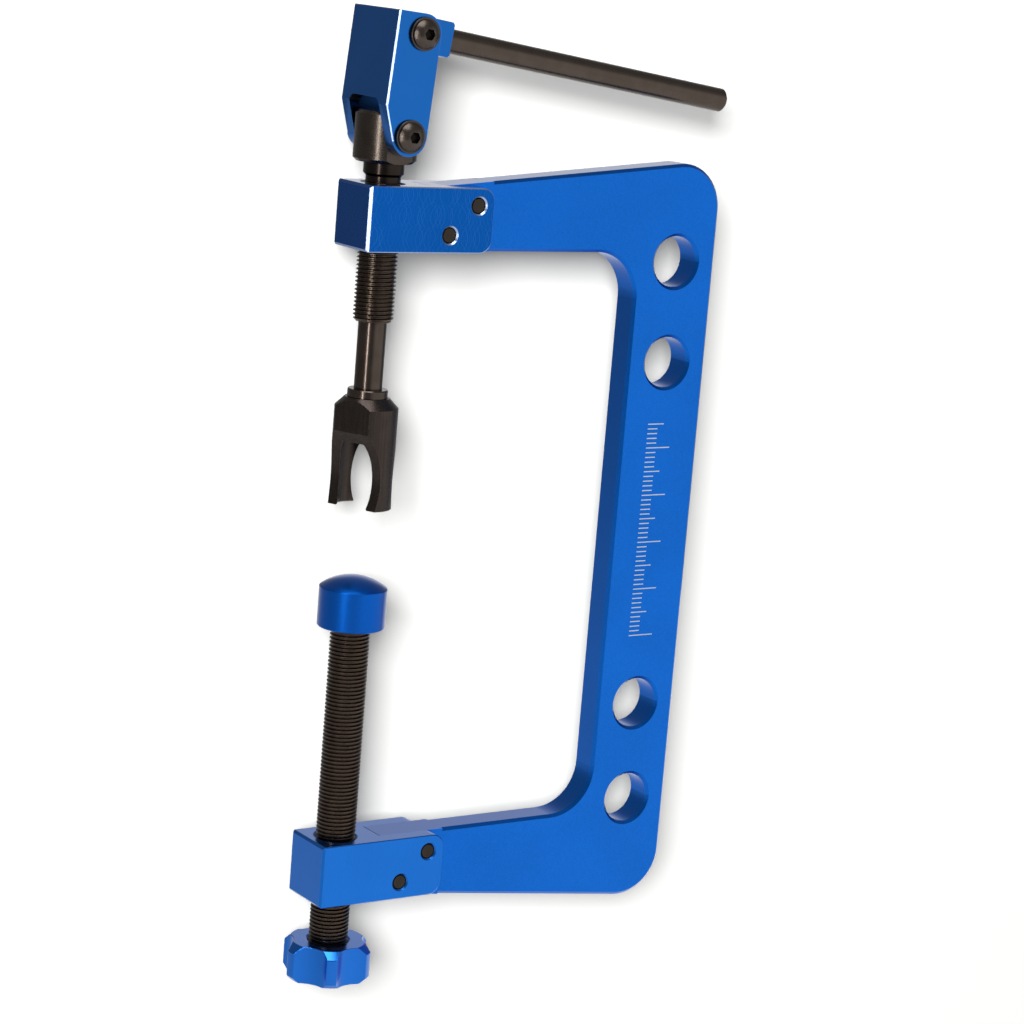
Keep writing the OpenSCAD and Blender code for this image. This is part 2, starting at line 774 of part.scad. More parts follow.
// Knob with hollows between its lobes
module knob() {
    r = knob_d / 2;
    hollow_x = r - hollow_depth + hollow_r;
    low = z_knob - knob_h;
    color(anodised_blue)
        difference() {
            rotate_extrude()
                polygon([[0, low], [r - knob_break, low], [r, low + knob_break], [r, z_knob - knob_bevel],
                    [r - knob_bevel, z_knob], [0, z_knob]]);
            for (i = [0 : lobes - 1])
                rotate(knob_turn + (i + 0.5) * 360 / lobes)
                    translate([hollow_x, 0, low - past]) cylinder(r = hollow_r, h = knob_h + 2 * past);
            translate([0, 0, z_knob - knob_in]) cylinder(r = thread_r + press_clear, h = knob_in + past);
            translate([0, 0, z_knob - bore_bevel])
                cylinder(r1 = thread_r, r2 = thread_r + bore_bevel + past, h = bore_bevel + past);
        }
}

c_frame();
upper_jaw();
lower_jaw();
dowel(z_upper, 0);  // upper_front_dowel
dowel(z_upper, 1);  // upper_rear_dowel
dowel(z_lower, 0);  // lower_front_dowel
dowel(z_lower, 1);  // lower_rear_dowel
forcing_screw();
screw_head();
tip_ring();
thrust_washer();
fork_tip();
yoke();
in_yoke() pivot_pin();  // yoke_pin
in_yoke() pivot_screw(-1);  // yoke_screw_front
in_yoke() pivot_screw(1);  // yoke_screw_rear
in_yoke() pivot_washer(-1);  // yoke_washer_front
in_yoke() pivot_washer(1);  // yoke_washer_rear
handle_block();
handle_rod();
in_handle() pivot_pin();  // handle_pin
in_handle() pivot_screw(-1);  // handle_screw_front
in_handle() pivot_screw(1);  // handle_screw_rear
in_handle() pivot_washer(-1);  // handle_washer_front
in_handle() pivot_washer(1);  // handle_washer_rear
anvil_screw();
anvil_pad();
pad_ring();
knob();
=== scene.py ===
# %% [markdown]
# # A valve spring compressor, dressed for its portrait
# This tool is a screw press in a C-shaped frame. A crank turns the upper screw, whose forked tip
# pushes an engine's valve spring down, and a domed pad on the lower screw holds the valve shut.
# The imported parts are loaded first, because everything below is placed by them and never moves them.

# %% Load the parts
import json
import math

import bmesh
import bpy
from mathutils import Matrix, Vector

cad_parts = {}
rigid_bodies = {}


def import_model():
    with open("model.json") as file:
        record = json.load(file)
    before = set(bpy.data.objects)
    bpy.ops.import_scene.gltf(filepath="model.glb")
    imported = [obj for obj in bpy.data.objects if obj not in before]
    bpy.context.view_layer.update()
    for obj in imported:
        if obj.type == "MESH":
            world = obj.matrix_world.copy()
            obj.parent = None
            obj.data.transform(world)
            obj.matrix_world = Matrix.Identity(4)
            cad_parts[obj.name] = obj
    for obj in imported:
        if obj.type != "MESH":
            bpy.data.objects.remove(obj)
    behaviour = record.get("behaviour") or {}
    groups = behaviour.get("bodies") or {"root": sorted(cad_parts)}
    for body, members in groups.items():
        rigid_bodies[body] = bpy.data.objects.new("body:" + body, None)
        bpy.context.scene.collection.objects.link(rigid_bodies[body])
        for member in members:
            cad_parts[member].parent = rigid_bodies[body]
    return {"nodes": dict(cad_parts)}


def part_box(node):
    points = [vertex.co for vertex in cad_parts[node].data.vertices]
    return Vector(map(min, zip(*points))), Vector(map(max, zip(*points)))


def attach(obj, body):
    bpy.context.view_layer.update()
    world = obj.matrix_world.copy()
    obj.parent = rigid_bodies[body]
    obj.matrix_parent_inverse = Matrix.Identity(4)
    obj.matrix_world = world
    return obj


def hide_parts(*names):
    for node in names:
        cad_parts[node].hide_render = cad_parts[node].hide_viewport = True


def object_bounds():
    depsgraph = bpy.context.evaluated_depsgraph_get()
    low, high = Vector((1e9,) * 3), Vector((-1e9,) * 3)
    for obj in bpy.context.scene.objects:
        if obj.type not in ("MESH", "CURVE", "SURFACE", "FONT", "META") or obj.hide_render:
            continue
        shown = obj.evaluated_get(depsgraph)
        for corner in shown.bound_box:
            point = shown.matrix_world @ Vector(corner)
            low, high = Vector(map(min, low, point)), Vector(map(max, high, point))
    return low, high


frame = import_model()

PARTS_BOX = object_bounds()
MM = 0.001
nodes = frame["nodes"]
print("parts loaded:", len(nodes), "size in mm:", [round(s / MM, 1) for s in PARTS_BOX[1] - PARTS_BOX[0]])


# %% [markdown]
# ## Helpers for nodes
# A material is a small tree of nodes. Adding a node always takes the same steps: make it, set its
# choices, then give each input a number or a wire. One helper does that, and a second one makes a
# node group with named sockets, so that an effect is built once and used by many materials.

# %% Helpers for nodes
def add(tree, kind, inputs=None, **choices):
    """Adds one shader node. An input is a number, a colour, or a socket to be wired to it."""
    made = tree.nodes.new("ShaderNode" + kind)
    for name, value in choices.items():
        setattr(made, name, value)
    for key, value in (inputs or {}).items():
        if isinstance(value, bpy.types.NodeSocket):
            tree.links.new(value, made.inputs[key])
        else:
            made.inputs[key].default_value = value
    return made


def math_node(tree, operation, a, b=0.0, clamp=False):
    """One sum on two values, and its result."""
    return add(tree, "Math", {0: a, 1: b}, operation=operation, use_clamp=clamp).outputs[0]


def band(tree, value, low, high, to_low=0.0, to_high=1.0):
    """Maps value from low..high to to_low..to_high, eased and clamped."""
    inputs = {"Value": value, "From Min": low, "From Max": high, "To Min": to_low, "To Max": to_high}
    return add(tree, "MapRange", inputs, interpolation_type="SMOOTHSTEP").outputs[0]


def shader_group(name, inputs, outputs):
    """An empty node group: its tree, its entry sockets by name, and its exit node."""
    tree = bpy.data.node_groups.new(name, "ShaderNodeTree")
    for label, kind, value in inputs:
        socket = tree.interface.new_socket(label, in_out="INPUT", socket_type="NodeSocket" + kind)
        if kind == "Float":
            socket.default_value = value
    for label, kind in outputs:
        tree.interface.new_socket(label, in_out="OUTPUT", socket_type="NodeSocket" + kind)
    entry = tree.nodes.new("NodeGroupInput").outputs
    return tree, entry, tree.nodes.new("NodeGroupOutput")


def use_group(tree, group, **inputs):
    """Places a node group in a material. Words in an input's name are joined by underscores."""
    placed = add(tree, "Group", node_tree=group)
    for name, value in inputs.items():
        socket = placed.inputs[name.replace("_", " ").capitalize()]
        if isinstance(value, bpy.types.NodeSocket):
            tree.links.new(value, socket)
        else:
            socket.default_value = value
    return placed.outputs


# %% [markdown]
# ## Effect: satin grain
# Anodised aluminium that was blasted before it was dyed has a very fine sparkle. Two layers of noise
# give it: a fine one for the single grains and a wide one for slow drifts in the dye. Object
# coordinates are used, in metres, so that the grain has its real size on every piece.

# %% Effect: satin grain
satin_grain, entry, leave = shader_group(
    "satin_grain",
    [("Vector", "Vector", None), ("Grain size", "Float", 0.5 * MM), ("Drift size", "Float", 30 * MM)],
    [("Grain", "Float"), ("Drift", "Float")],
)
grain_scale = math_node(satin_grain, "DIVIDE", 1.0, entry["Grain size"])
drift_scale = math_node(satin_grain, "DIVIDE", 1.0, entry["Drift size"])
for label, scale, detail in (("Grain", grain_scale, 2.0), ("Drift", drift_scale, 1.0)):
    noise = add(satin_grain, "TexNoise", {"Vector": entry["Vector"], "Scale": scale, "Detail": detail})
    satin_grain.links.new(noise.outputs[0], leave.inputs[label])
print("effect:", satin_grain.name)


# %% [markdown]
# ## Effect: milling rings
# The flat sides of the jaws were faced with a small end mill that stepped across them in rows, and
# each step left a faint ring. Rings that overlap can't be had by folding the coordinates into cells.
# But every ring of a row has the same radius, so its arcs lie half a chord to the right and to the
# left of its centre. Moving X by that half chord turns all the arcs into evenly spaced lines, which
# a fraction finds. Noise on X makes the steps uneven, and each arc gets a strength of its own.

# %% Effect: milling rings
milling_rings, entry, leave = shader_group(
    "milling_rings",
    [("Vector", "Vector", None), ("Radius", "Float", 5.3 * MM), ("Step", "Float", 1.9 * MM),
        ("Row", "Float", 8.5 * MM)],
    [("Rings", "Float")],
)
axes = add(milling_rings, "SeparateXYZ", {0: entry["Vector"]}).outputs
moved = math_node(milling_rings, "ADD", axes["Z"], 1.0)
up = math_node(milling_rings, "SUBTRACT", math_node(milling_rings, "MODULO", moved, entry["Row"]),
    math_node(milling_rings, "MULTIPLY", entry["Row"], 0.5))
row = math_node(milling_rings, "FLOOR", math_node(milling_rings, "DIVIDE", moved, entry["Row"]))
square = math_node(milling_rings, "SUBTRACT", math_node(milling_rings, "POWER", entry["Radius"], 2.0),
    math_node(milling_rings, "MULTIPLY", up, up))
half_chord = math_node(milling_rings, "SQRT", math_node(milling_rings, "MAXIMUM", square, 0.0))
wander = add(milling_rings, "TexNoise", {"Vector": entry["Vector"], "Scale": 90.0, "Detail": 0.0}).outputs[0]
uneven = math_node(milling_rings, "ADD", axes["X"], math_node(milling_rings, "MULTIPLY", wander, 3 * MM))
rings = 0.0
for side in (1.0, -1.0):
    shift = math_node(milling_rings, "MULTIPLY", half_chord, side)
    start = math_node(milling_rings, "ADD", math_node(milling_rings, "ADD", uneven, shift), 1.0)
    count = math_node(milling_rings, "DIVIDE", start, entry["Step"])
    away = math_node(milling_rings, "ABSOLUTE",
        math_node(milling_rings, "SUBTRACT", math_node(milling_rings, "FRACT", count), 0.5))
    line = band(milling_rings, away, 0.10, 0.0)
    number = math_node(milling_rings, "FLOOR", count)
    which = add(milling_rings, "CombineXYZ", {"X": number, "Y": row, "Z": side}).outputs[0]
    strength = add(milling_rings, "TexWhiteNoise", {"Vector": which}).outputs["Value"]
    rings = math_node(milling_rings, "MAXIMUM", math_node(milling_rings, "MULTIPLY", line, strength), rings)
milling_rings.links.new(rings, leave.inputs["Rings"])
print("effect:", milling_rings.name)


# %% [markdown]
# ## Effect: turning lines
# A lathe leaves fine rings round whatever it turns. On a cylinder they change along the axis, and on
# a flat end they change with the distance from it. A noise that is fed only those two values, and
# not the angle, draws both at once.

# %% Effect: turning lines
turning_lines, entry, leave = shader_group(
    "turning_lines",
    [("Vector", "Vector", None), ("Feed", "Float", 0.3 * MM)],
    [("Lines", "Float")],
)
axes = add(turning_lines, "SeparateXYZ", {0: entry["Vector"]}).outputs
flat = add(turning_lines, "CombineXYZ", {"X": axes["X"], "Y": axes["Y"]})
away = add(turning_lines, "VectorMath", {0: flat.outputs[0]}, operation="LENGTH").outputs["Value"]
along = add(turning_lines, "CombineXYZ", {"X": away, "Y": axes["Z"]})
scale = math_node(turning_lines, "DIVIDE", 1.0, entry["Feed"])
noise = add(turning_lines, "TexNoise", {"Vector": along.outputs[0], "Scale": scale, "Detail": 3.0})
turning_lines.links.new(noise.outputs[0], leave.inputs["Lines"])
print("effect:", turning_lines.name)


# %% [markdown]
# ## Effect: edge wear and sheen
# The finishes make edges paler and brighter: partly wear, since dye and oxide are thinner along an
# edge and handling polishes it, and partly a painted highlight along the edge. The Bevel node gives
# the normal that a rounded edge would have, so where it turns away from the true normal there is an edge.

# %% Effect: edge wear and sheen
edge_wear_and_sheen, entry, leave = shader_group(
    "edge_wear_and_sheen", [("Width", "Float", 0.4 * MM)], [("Edge", "Float")]
)
rounded = add(edge_wear_and_sheen, "Bevel", {"Radius": entry["Width"]}, samples=8)
true = add(edge_wear_and_sheen, "NewGeometry").outputs["Normal"]
agree = add(edge_wear_and_sheen, "VectorMath", {0: rounded.outputs[0], 1: true}, operation="DOT_PRODUCT")
edge_wear_and_sheen.links.new(band(edge_wear_and_sheen, agree.outputs["Value"], 0.995, 0.86), leave.inputs["Edge"])
print("effect:", edge_wear_and_sheen.name)


# %% [markdown]
# ## Helpers for finishes
# Every finish starts from a new material with its Principled shader and reads Object coordinates,
# which are fixed to the piece. Setting the shader's inputs and mixing two colours come up in all of
# them, so each has a short helper.

# %% Helpers for finishes
def blank_material(name):
    """A new material: its tree, its Principled shader and its Object coordinates."""
    material = bpy.data.materials.new(name)
    material.use_nodes = True
    tree = material.node_tree
    return material, tree, tree.nodes["Principled BSDF"], add(tree, "TexCoord").outputs["Object"]


def wire(tree, shader, **values):
    """Sets the shader's inputs, by wire or by number, from words joined by underscores."""
    for name, value in values.items():
        socket = shader.inputs[name.replace("_", " ").title()]
        if isinstance(value, bpy.types.NodeSocket):
            tree.links.new(value, socket)
        else:
            socket.default_value = value


def mix_colour(tree, share, a, b):
    """Mixes colour a with colour b by share."""
    return add(tree, "Mix", {0: share, 6: a, 7: b}, data_type="RGBA").outputs[2]


# %% [markdown]
# ## Finish: anodised blue
# Anodised aluminium is metal seen through a clear, dyed skin. A metallic Principled shader with a
# blue base gives the metal. Its skin shows only at a slant, where it mirrors the pale studio and
# turns the top faces lavender, so the weight of the coat follows a Layer Weight node. That node
# stays in the material, because what it gives depends on the eye. Grain changes the roughness and,
# very slightly, the colour. Edges are brighter and paler, partly as wear and partly as a painted
# highlight. Bevels, which the slant of the surface tells from the flat sides, get a pale painted
# highlight, and deep hollows get painted shade from an Ambient Occlusion node, where that was asked for.

# %% Finish: anodised blue
# Pale colour for edges and bevels: partly wear, and partly a painted highlight
PALE_EDGE = (0.55, 0.65, 0.85, 1)
RING_BLUE = (0.06, 0.24, 0.75, 1)
# Reach of the painted shade in deep hollows
HOLLOW_SHADE_REACH = 40 * MM
GRAIN_HEIGHT, RING_HEIGHT, LINE_HEIGHT = 0.005 * MM, 0.008 * MM, 0.01 * MM
SKIN_ROUGHNESS, SKIN_INDEX = 0.14, 1.6
EDGE_SHEEN_LIFT = 0.25


def anodised(name, base, roughness, grain_lift, wear_and_sheen, bevels=0.0, rings=0.0, lines=0.0, shade=0.0):
    """Blue anodised aluminium. wear_and_sheen is how pale its edges are, partly wear and partly a painted
    highlight, and bevels how pale its front and rear bevels are, a painted highlight. rings and lines
    are tool marks, and shade is how much painted shade darkens a deep hollow."""
    material, tree, shader, place = blank_material(name)
    grain = use_group(tree, satin_grain, vector=place)
    edge = use_group(tree, edge_wear_and_sheen)["Edge"]
    speckle = band(tree, grain["Grain"], 0.3, 0.7, -grain_lift, grain_lift)
    # Edges are brightened by the edge mask: a painted highlight
    bright = math_node(tree, "ADD", speckle, math_node(tree, "MULTIPLY", edge, EDGE_SHEEN_LIFT))
    bright = math_node(tree, "ADD", bright, band(tree, grain["Drift"], 0.3, 0.7, 0.97, 1.03))
    # Painted shade: where the Ambient Occlusion node finds walls close round, the colour is darkened
    if shade:
        painted_shade_ao = add(tree, "AmbientOcclusion", {"Distance": HOLLOW_SHADE_REACH}, samples=8).outputs["AO"]
        bright = math_node(tree, "MULTIPLY", bright, band(tree, painted_shade_ao, 0.25, 0.65, 1.0 - shade, 1.0))
    colour = add(tree, "VectorMath", {0: base, "Scale": bright}, operation="SCALE").outputs[0]
    height = math_node(tree, "MULTIPLY", grain["Grain"], grain_lift * GRAIN_HEIGHT)
    normal = add(tree, "VectorTransform", {0: add(tree, "NewGeometry").outputs["True Normal"]},
        vector_type="NORMAL", convert_from="WORLD", convert_to="OBJECT").outputs[0]
    facing = math_node(tree, "ABSOLUTE", add(tree, "SeparateXYZ", {0: normal}).outputs["Y"])
    if rings:
        marks = use_group(tree, milling_rings, vector=place)["Rings"]
        marks = math_node(tree, "MULTIPLY", marks, band(tree, facing, 0.9, 0.98))
        pale = math_node(tree, "MULTIPLY", marks, rings)
        colour = mix_colour(tree, pale, colour, RING_BLUE)
        height = math_node(tree, "ADD", height, math_node(tree, "MULTIPLY", marks, rings * RING_HEIGHT))
    if lines:
        lathe = use_group(tree, turning_lines, vector=place)["Lines"]
        height = math_node(tree, "ADD", height, math_node(tree, "MULTIPLY", lathe, lines * LINE_HEIGHT))
    # Edges turn towards the pale colour, partly as wear and partly as a painted highlight
    pale = math_node(tree, "MULTIPLY", edge, wear_and_sheen)
    # Painted highlight: front and rear bevels, picked by their slant, are mixed towards the pale colour
    if bevels:
        on_bevel = math_node(tree, "MULTIPLY", band(tree, facing, 0.4, 0.6), band(tree, facing, 0.97, 0.9))
        pale = math_node(tree, "MAXIMUM", pale, math_node(tree, "MULTIPLY", on_bevel, bevels))
    colour = mix_colour(tree, pale, colour, PALE_EDGE)
    bump = add(tree, "Bump", {"Height": height, "Distance": 1.0})
    rough = band(tree, grain["Grain"], 0.25, 0.75, roughness - grain_lift / 2, roughness + grain_lift / 2)
    slant = add(tree, "LayerWeight", {"Blend": 0.5}).outputs["Facing"]
    skin = band(tree, slant, 0.5, 0.95, 0.04, 1.0)
    wire(tree, shader, base_color=colour, roughness=rough, metallic=1.0, normal=bump.outputs[0],
        coat_weight=skin, coat_roughness=SKIN_ROUGHNESS)
    shader.inputs["Coat IOR"].default_value = SKIN_INDEX
    return material


# %% The blue finishes
plate_blue = anodised("plate_blue", (0.006, 0.140, 0.610), roughness=0.36, grain_lift=0.10, wear_and_sheen=0.0)
# bevels paints a pale highlight on the bevels of the upper jaw and the yoke
upper_jaw_blue = anodised("upper_jaw_blue", (0.001, 0.088, 0.39), roughness=0.28, grain_lift=0.02, wear_and_sheen=0.1,
    bevels=0.75, rings=0.3)
lower_jaw_blue = anodised("lower_jaw_blue", (0.012, 0.162, 0.63), roughness=0.32, grain_lift=0.02, wear_and_sheen=0.1,
    rings=0.12)
# shade paints shade into the yoke's inner hollows
yoke_blue = anodised("yoke_blue", (0.012, 0.128, 0.46), roughness=0.24, grain_lift=0.01, wear_and_sheen=0.1,
    bevels=0.65, shade=0.9)
pad_blue = anodised("pad_blue", (0.003, 0.094, 0.46), roughness=0.33, grain_lift=0.06, wear_and_sheen=0.2, lines=0.10)
knob_blue = anodised("knob_blue", (0.018, 0.160, 0.63), roughness=0.26, grain_lift=0.01, wear_and_sheen=0.2, lines=0.15)
print("finishes:", [m.name for m in bpy.data.materials if "blue" in m.name])


# %% [markdown]
# ## Finish: black oxide and turned steel
# The screws, fork and crank are steel in a thin black oxide that looks brown where light grazes it.
# A dark, warm metallic base with blotches of two tones gives it. Edges take the lighter tone, partly
# as wear and partly as a painted highlight, and grooves, which an Ambient Occlusion node finds, get
# painted shade. The screw's head also shows the rings of the lathe, and the fork the streaks of the
# cutter that milled its flanks.

# %% Finish: black oxide and turned steel
# Reach and strength of the painted shade in grooves
GROOVE_SHADE_REACH = 2.5 * MM
GROOVE_SHADE_SHARE = 0.12
OXIDE_GRAIN, BLOTCH_SIZE = 0.35 * MM, 6 * MM
OXIDE_GRAIN_HEIGHT = 0.001 * MM
OXIDE_EDGE, EDGE_SHARE = 0.3 * MM, 0.8
ROUGHNESS_SPREAD = 0.06
STREAK_WIDTH = 0.6 * MM


def oxide(name, dark, light, roughness, lines=0.0, feed=0.3 * MM, blotches=0.25, streaks=0.0):
    """Dark steel of two tones, in blotches, with edges in the lighter tone as wear and painted highlight,
    and painted shade in its hollows. lines are the fine rings of a lathe, feed apart, and streaks run
    along the height, as a cutter leaves them."""
    material, tree, shader, place = blank_material(name)
    grain = use_group(tree, satin_grain, vector=place, grain_size=OXIDE_GRAIN, drift_size=BLOTCH_SIZE)
    edge = use_group(tree, edge_wear_and_sheen, width=OXIDE_EDGE)["Edge"]
    blotch = band(tree, grain["Drift"], 0.3, 0.7, 0.0, blotches)
    # Edges take the lighter tone: partly wear, and partly a painted highlight
    share = math_node(tree, "ADD", blotch, math_node(tree, "MULTIPLY", edge, EDGE_SHARE), clamp=True)
    if streaks:
        drawn = add(tree, "VectorMath", {0: place, 1: (1, 1, 0.02)}, operation="MULTIPLY").outputs[0]
        drawn = add(tree, "TexNoise", {"Vector": drawn, "Scale": 1 / STREAK_WIDTH, "Detail": 2.0}).outputs[0]
        share = math_node(tree, "ADD", share, band(tree, drawn, 0.3, 0.7, -streaks, streaks), clamp=True)
    # Painted shade: grooves and sockets go darker where the Ambient Occlusion node finds walls close round
    painted_shade_ao = add(tree, "AmbientOcclusion", {"Distance": GROOVE_SHADE_REACH}, samples=8).outputs["AO"]
    unshaded = mix_colour(tree, share, dark, light)
    groove_shade = tuple(GROOVE_SHADE_SHARE * level for level in dark[:3]) + (1,)
    colour = mix_colour(tree, band(tree, painted_shade_ao, 0.25, 0.75), groove_shade, unshaded)
    height = math_node(tree, "MULTIPLY", grain["Grain"], OXIDE_GRAIN_HEIGHT)
    least, most = roughness - ROUGHNESS_SPREAD, roughness + ROUGHNESS_SPREAD
    rough = band(tree, grain["Grain"], 0.25, 0.75, least, most)
    if lines:
        lathe = use_group(tree, turning_lines, vector=place, feed=feed)["Lines"]
        height = math_node(tree, "ADD", height, math_node(tree, "MULTIPLY", lathe, lines * LINE_HEIGHT))
    bump = add(tree, "Bump", {"Height": height, "Distance": 1.0})
    wire(tree, shader, base_color=colour, roughness=rough, metallic=1.0, normal=bump.outputs[0])
    return material


# %% The dark finishes
black_oxide = oxide("black_oxide", (0.070, 0.056, 0.048, 1), (0.110, 0.090, 0.078, 1), roughness=0.30)
rod_oxide = oxide("rod_oxide", (0.080, 0.062, 0.051, 1), (0.115, 0.092, 0.077, 1),
    roughness=0.26, lines=0.15)
spindle_oxide = oxide("spindle_oxide", (0.070, 0.054, 0.045, 1), (0.115, 0.092, 0.077, 1),
    roughness=0.20, lines=0.20)
# A much darker copy of the screw's oxide for its shank and neck under the head: painted shade
neck_painted_shade_oxide = oxide("neck_painted_shade_oxide", (0.024, 0.018, 0.016, 1), (0.045, 0.036, 0.032, 1),
    roughness=0.22, lines=0.25)
fork_oxide = oxide("fork_oxide", (0.043, 0.034, 0.030, 1), (0.150, 0.122, 0.108, 1),
    roughness=0.30, blotches=0.06, streaks=0.07)
# The thread's light tone lands on its crests through the edge mask: a painted highlight along the thread
thread_oxide = oxide("thread_oxide", (0.046, 0.032, 0.024, 1), (0.330, 0.248, 0.195, 1),
    roughness=0.30, blotches=0.04)
head_steel = oxide("head_steel", (0.066, 0.053, 0.044, 1), (0.110, 0.092, 0.078, 1),
    roughness=0.26, lines=0.9, feed=0.5 * MM)
# Near-black copy of the oxide for the insides of the hex sockets: painted shade
socket_painted_shade = oxide("socket_painted_shade", (0.012, 0.010, 0.009, 1), (0.020, 0.016, 0.014, 1), roughness=0.40)
dowel_steel = oxide("dowel_steel", (0.040, 0.032, 0.027, 1), (0.070, 0.056, 0.046, 1), roughness=0.38)
print("finishes:", [m.name for m in bpy.data.materials if "oxide" in m.name or "steel" in m.name])


# %% [markdown]
# ## The parts that keep their shape
# Most parts already have their true shape, bevels included, so they only need a finish. A part's
# mesh is left as it is, and the finish goes into its first material slot.

# %% Finish the parts
def finish_part(name, material):
    """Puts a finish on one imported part."""
    slots = nodes[name].data.materials
    slots.clear()
    slots.append(material)


SIDES = ("front", "rear")
DOWELS = [f"{jaw}_{end}_dowel" for jaw in ("upper", "lower") for end in SIDES]
BUTTONS = [f"{pivot}_screw_{side}" for pivot in ("yoke", "handle") for side in SIDES]
WASHERS = [f"{pivot}_washer_{side}" for pivot in ("yoke", "handle") for side in SIDES]
FINISHES = {
    plate_blue: ["c_frame"],
    upper_jaw_blue: ["upper_jaw"],
    lower_jaw_blue: ["lower_jaw"],
    yoke_blue: ["yoke", "handle_block"],
    pad_blue: ["anvil_pad"],
    knob_blue: ["knob"],
    head_steel: ["screw_head", "thrust_washer"],
    dowel_steel: DOWELS,
    spindle_oxide: ["forcing_screw", "anvil_screw"],
    rod_oxide: ["handle_rod"],
    fork_oxide: ["fork_tip"],
    black_oxide: ["yoke_pin", "handle_pin", "tip_ring", "pad_ring"] + BUTTONS + WASHERS,
}
for material, names in FINISHES.items():
    for name in names:
        finish_part(name, material)
print("finished parts:", sum(len(names) for names in FINISHES.values()), "of", len(nodes))


# %% [markdown]
# ## Screw threads
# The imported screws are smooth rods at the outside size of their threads. A real thread is one ridge
# that winds up the rod, and it could be a stack of rings or a modifier. Here one pitch of the
# profile is spun once round the axis with a small lift at every step, which winds it into one turn
# of a helix. That turn is copied on top of itself, then both, then all four, because doubling is much
# quicker than winding every turn. The turns are merged, the rod is cut to length and capped, and its
# ends are pressed into a cone, as a thread is chamfered before it is cut.

# %% Screw threads
PITCH = 25.4 / 16 * MM
THREAD_R = 15.875 / 2 * MM
THREAD_DEPTH = 0.5413 * PITCH
STEPS = 48
# One pitch of the thread's outline, as shares of the pitch, with the depth below the crest
THREAD_OUTLINE = ((0, 1), (1 / 4, 1), (9 / 16, 0), (11 / 16, 0), (1, 1))


def threaded_rod(shape, low, high, chamfer):
    """Adds a closed rod with a right-hand thread between two heights."""
    start = low - PITCH * 1.5
    points = [
        shape.verts.new((THREAD_R - depth * THREAD_DEPTH, 0, start + rise * PITCH))
        for rise, depth in THREAD_OUTLINE
    ]
    outline = [shape.edges.new(pair) for pair in zip(points, points[1:])]
    bmesh.ops.spin(
        shape, geom=points + outline, cent=(0, 0, 0), axis=(0, 0, 1), dvec=(0, 0, PITCH / STEPS),
        angle=2 * math.pi, steps=STEPS, use_merge=False,
    )
    turns = 1
    while turns * PITCH < high - low + 3 * PITCH:
        turn = shape.verts[:] + shape.edges[:] + shape.faces[:]
        copied = bmesh.ops.duplicate(shape, geom=turn)["geom"]
        verts = [item for item in copied if isinstance(item, bmesh.types.BMVert)]
        bmesh.ops.translate(shape, vec=(0, 0, turns * PITCH), verts=verts)
        turns *= 2
    bmesh.ops.remove_doubles(shape, verts=shape.verts, dist=0.01 * MM)
    for height, way in ((low, -1), (high, 1)):
        everything = shape.verts[:] + shape.edges[:] + shape.faces[:]
        bmesh.ops.bisect_plane(
            shape, geom=everything, plane_co=(0, 0, height), plane_no=(0, 0, way), clear_outer=True
        )
    rims = [edge for edge in shape.edges if edge.is_boundary]
    bmesh.ops.holes_fill(shape, edges=rims, sides=0)
    for vert in shape.verts:
        inside = min(vert.co.z - low, high - vert.co.z)
        widest = THREAD_R - max(0.0, chamfer - inside)
        reach = vert.co.xy.length
        if reach > widest:
            vert.co.xy *= widest / reach
    bmesh.ops.recalc_face_normals(shape, faces=shape.faces)


# %% [markdown]
# ## Shapes into pieces
# The plain stretches of a screw are solids of revolution, so an outline is spun round the axis. A
# finished piece may join several such shapes, each with its own finish. It then rides on a body, so
# that it moves with the mechanism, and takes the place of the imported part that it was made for.

# %% Shapes into pieces
def turned(shape, outline, steps=64):
    """Adds a solid of revolution round the Z axis from (radius, height) points."""
    points = [shape.verts.new((r, 0, z)) for r, z in outline]
    edges = [shape.edges.new(pair) for pair in zip(points, points[1:])]
    bmesh.ops.spin(
        shape, geom=points + edges, cent=(0, 0, 0), axis=(0, 0, 1), angle=2 * math.pi, steps=steps,
        use_merge=True,
    )
    bmesh.ops.remove_doubles(shape, verts=shape.verts, dist=0.001 * MM)


def piece_from(name, shapes, body, replaced=()):
    """Joins bmesh shapes, each with its finishes, into one piece that rides on a body."""
    mesh = bpy.data.meshes.new(name)
    joined = bmesh.new()
    for shape, *finishes in shapes:
        bmesh.ops.recalc_face_normals(shape, faces=shape.faces)
        for face in shape.faces:
            face.material_index += len(mesh.materials)
        part = bpy.data.meshes.new("part")
        shape.to_mesh(part)
        shape.free()
        joined.from_mesh(part)
        bpy.data.meshes.remove(part)
        for material in finishes:
            mesh.materials.append(material)
    joined.to_mesh(mesh)
    joined.free()
    piece = bpy.data.objects.new(name, mesh)
    bpy.context.scene.collection.objects.link(piece)
    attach(piece, body)
    if replaced:
        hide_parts(*replaced)
    print("piece:", name, "faces:", len(mesh.polygons))
    return piece


SMOOTH_BELOW = 28


def smooth_by_angle(piece, degrees):
    """Shades a piece smooth, but for edges sharper than the angle."""
    piece.data.shade_smooth()
    piece.data.set_sharp_from_angle(angle=math.radians(degrees))


# %% [markdown]
# ## The two screws
# The forcing screw is a shank, a neck, a thread, a slim spindle and a collar, from the top down. The
# anvil screw is thread nearly all the way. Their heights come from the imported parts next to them.

